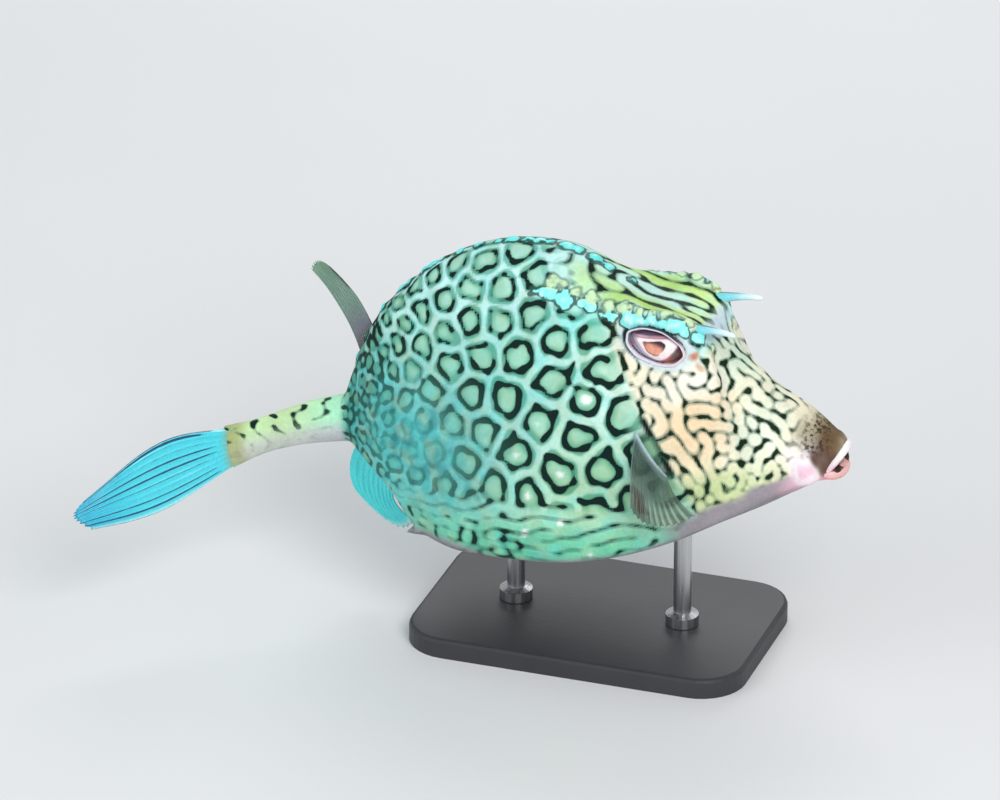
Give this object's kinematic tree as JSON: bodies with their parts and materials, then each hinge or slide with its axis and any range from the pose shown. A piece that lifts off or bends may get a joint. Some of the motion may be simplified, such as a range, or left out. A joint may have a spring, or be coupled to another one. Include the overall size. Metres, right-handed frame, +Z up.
{
  "type": "honeycomb cowfish display model",
  "caption": "Life-size honeycomb cowfish with a box-like patterned shell, horns over the eyes, ribbed fins and a bent tail, held on two rods above a flat display stand.",
  "frame": {"origin": "middle of the underside of the display stand's base, which rests on the floor", "axes": "+Z up, +X towards the fish's snout, +Y towards the fish's left side"},
  "size_m": [0.2881, 0.1345, 0.1632],
  "materials": {
    "shell": "satin, patterned",
    "skin": "satin, patterned",
    "fin_cyan": "satin",
    "fin_grey": "satin",
    "lip_pink": "satin",
    "horn_pale": "smooth",
    "eye_wet": "wet gloss",
    "stand_steel": "brushed",
    "stand_black": "satin black"
  },
  "bodies": {
    "root": {"carapace": "shell", "head": "skin", "tail_stalk": "skin", "caudal_fin": "fin_cyan", "anal_fin": "fin_cyan", "dorsal_fin": "fin_grey", "pectoral_fin_left": "fin_grey", "pectoral_fin_right": "fin_grey", "upper_lip": "lip_pink", "lower_lip": "lip_pink", "horn_left": "horn_pale", "horn_right": "horn_pale", "eye_left": "eye_wet", "eye_right": "eye_wet", "stand_base": "stand_black", "stand_rod_front": "stand_steel", "stand_rod_rear": "stand_steel"}
  },
  "joints": []
}
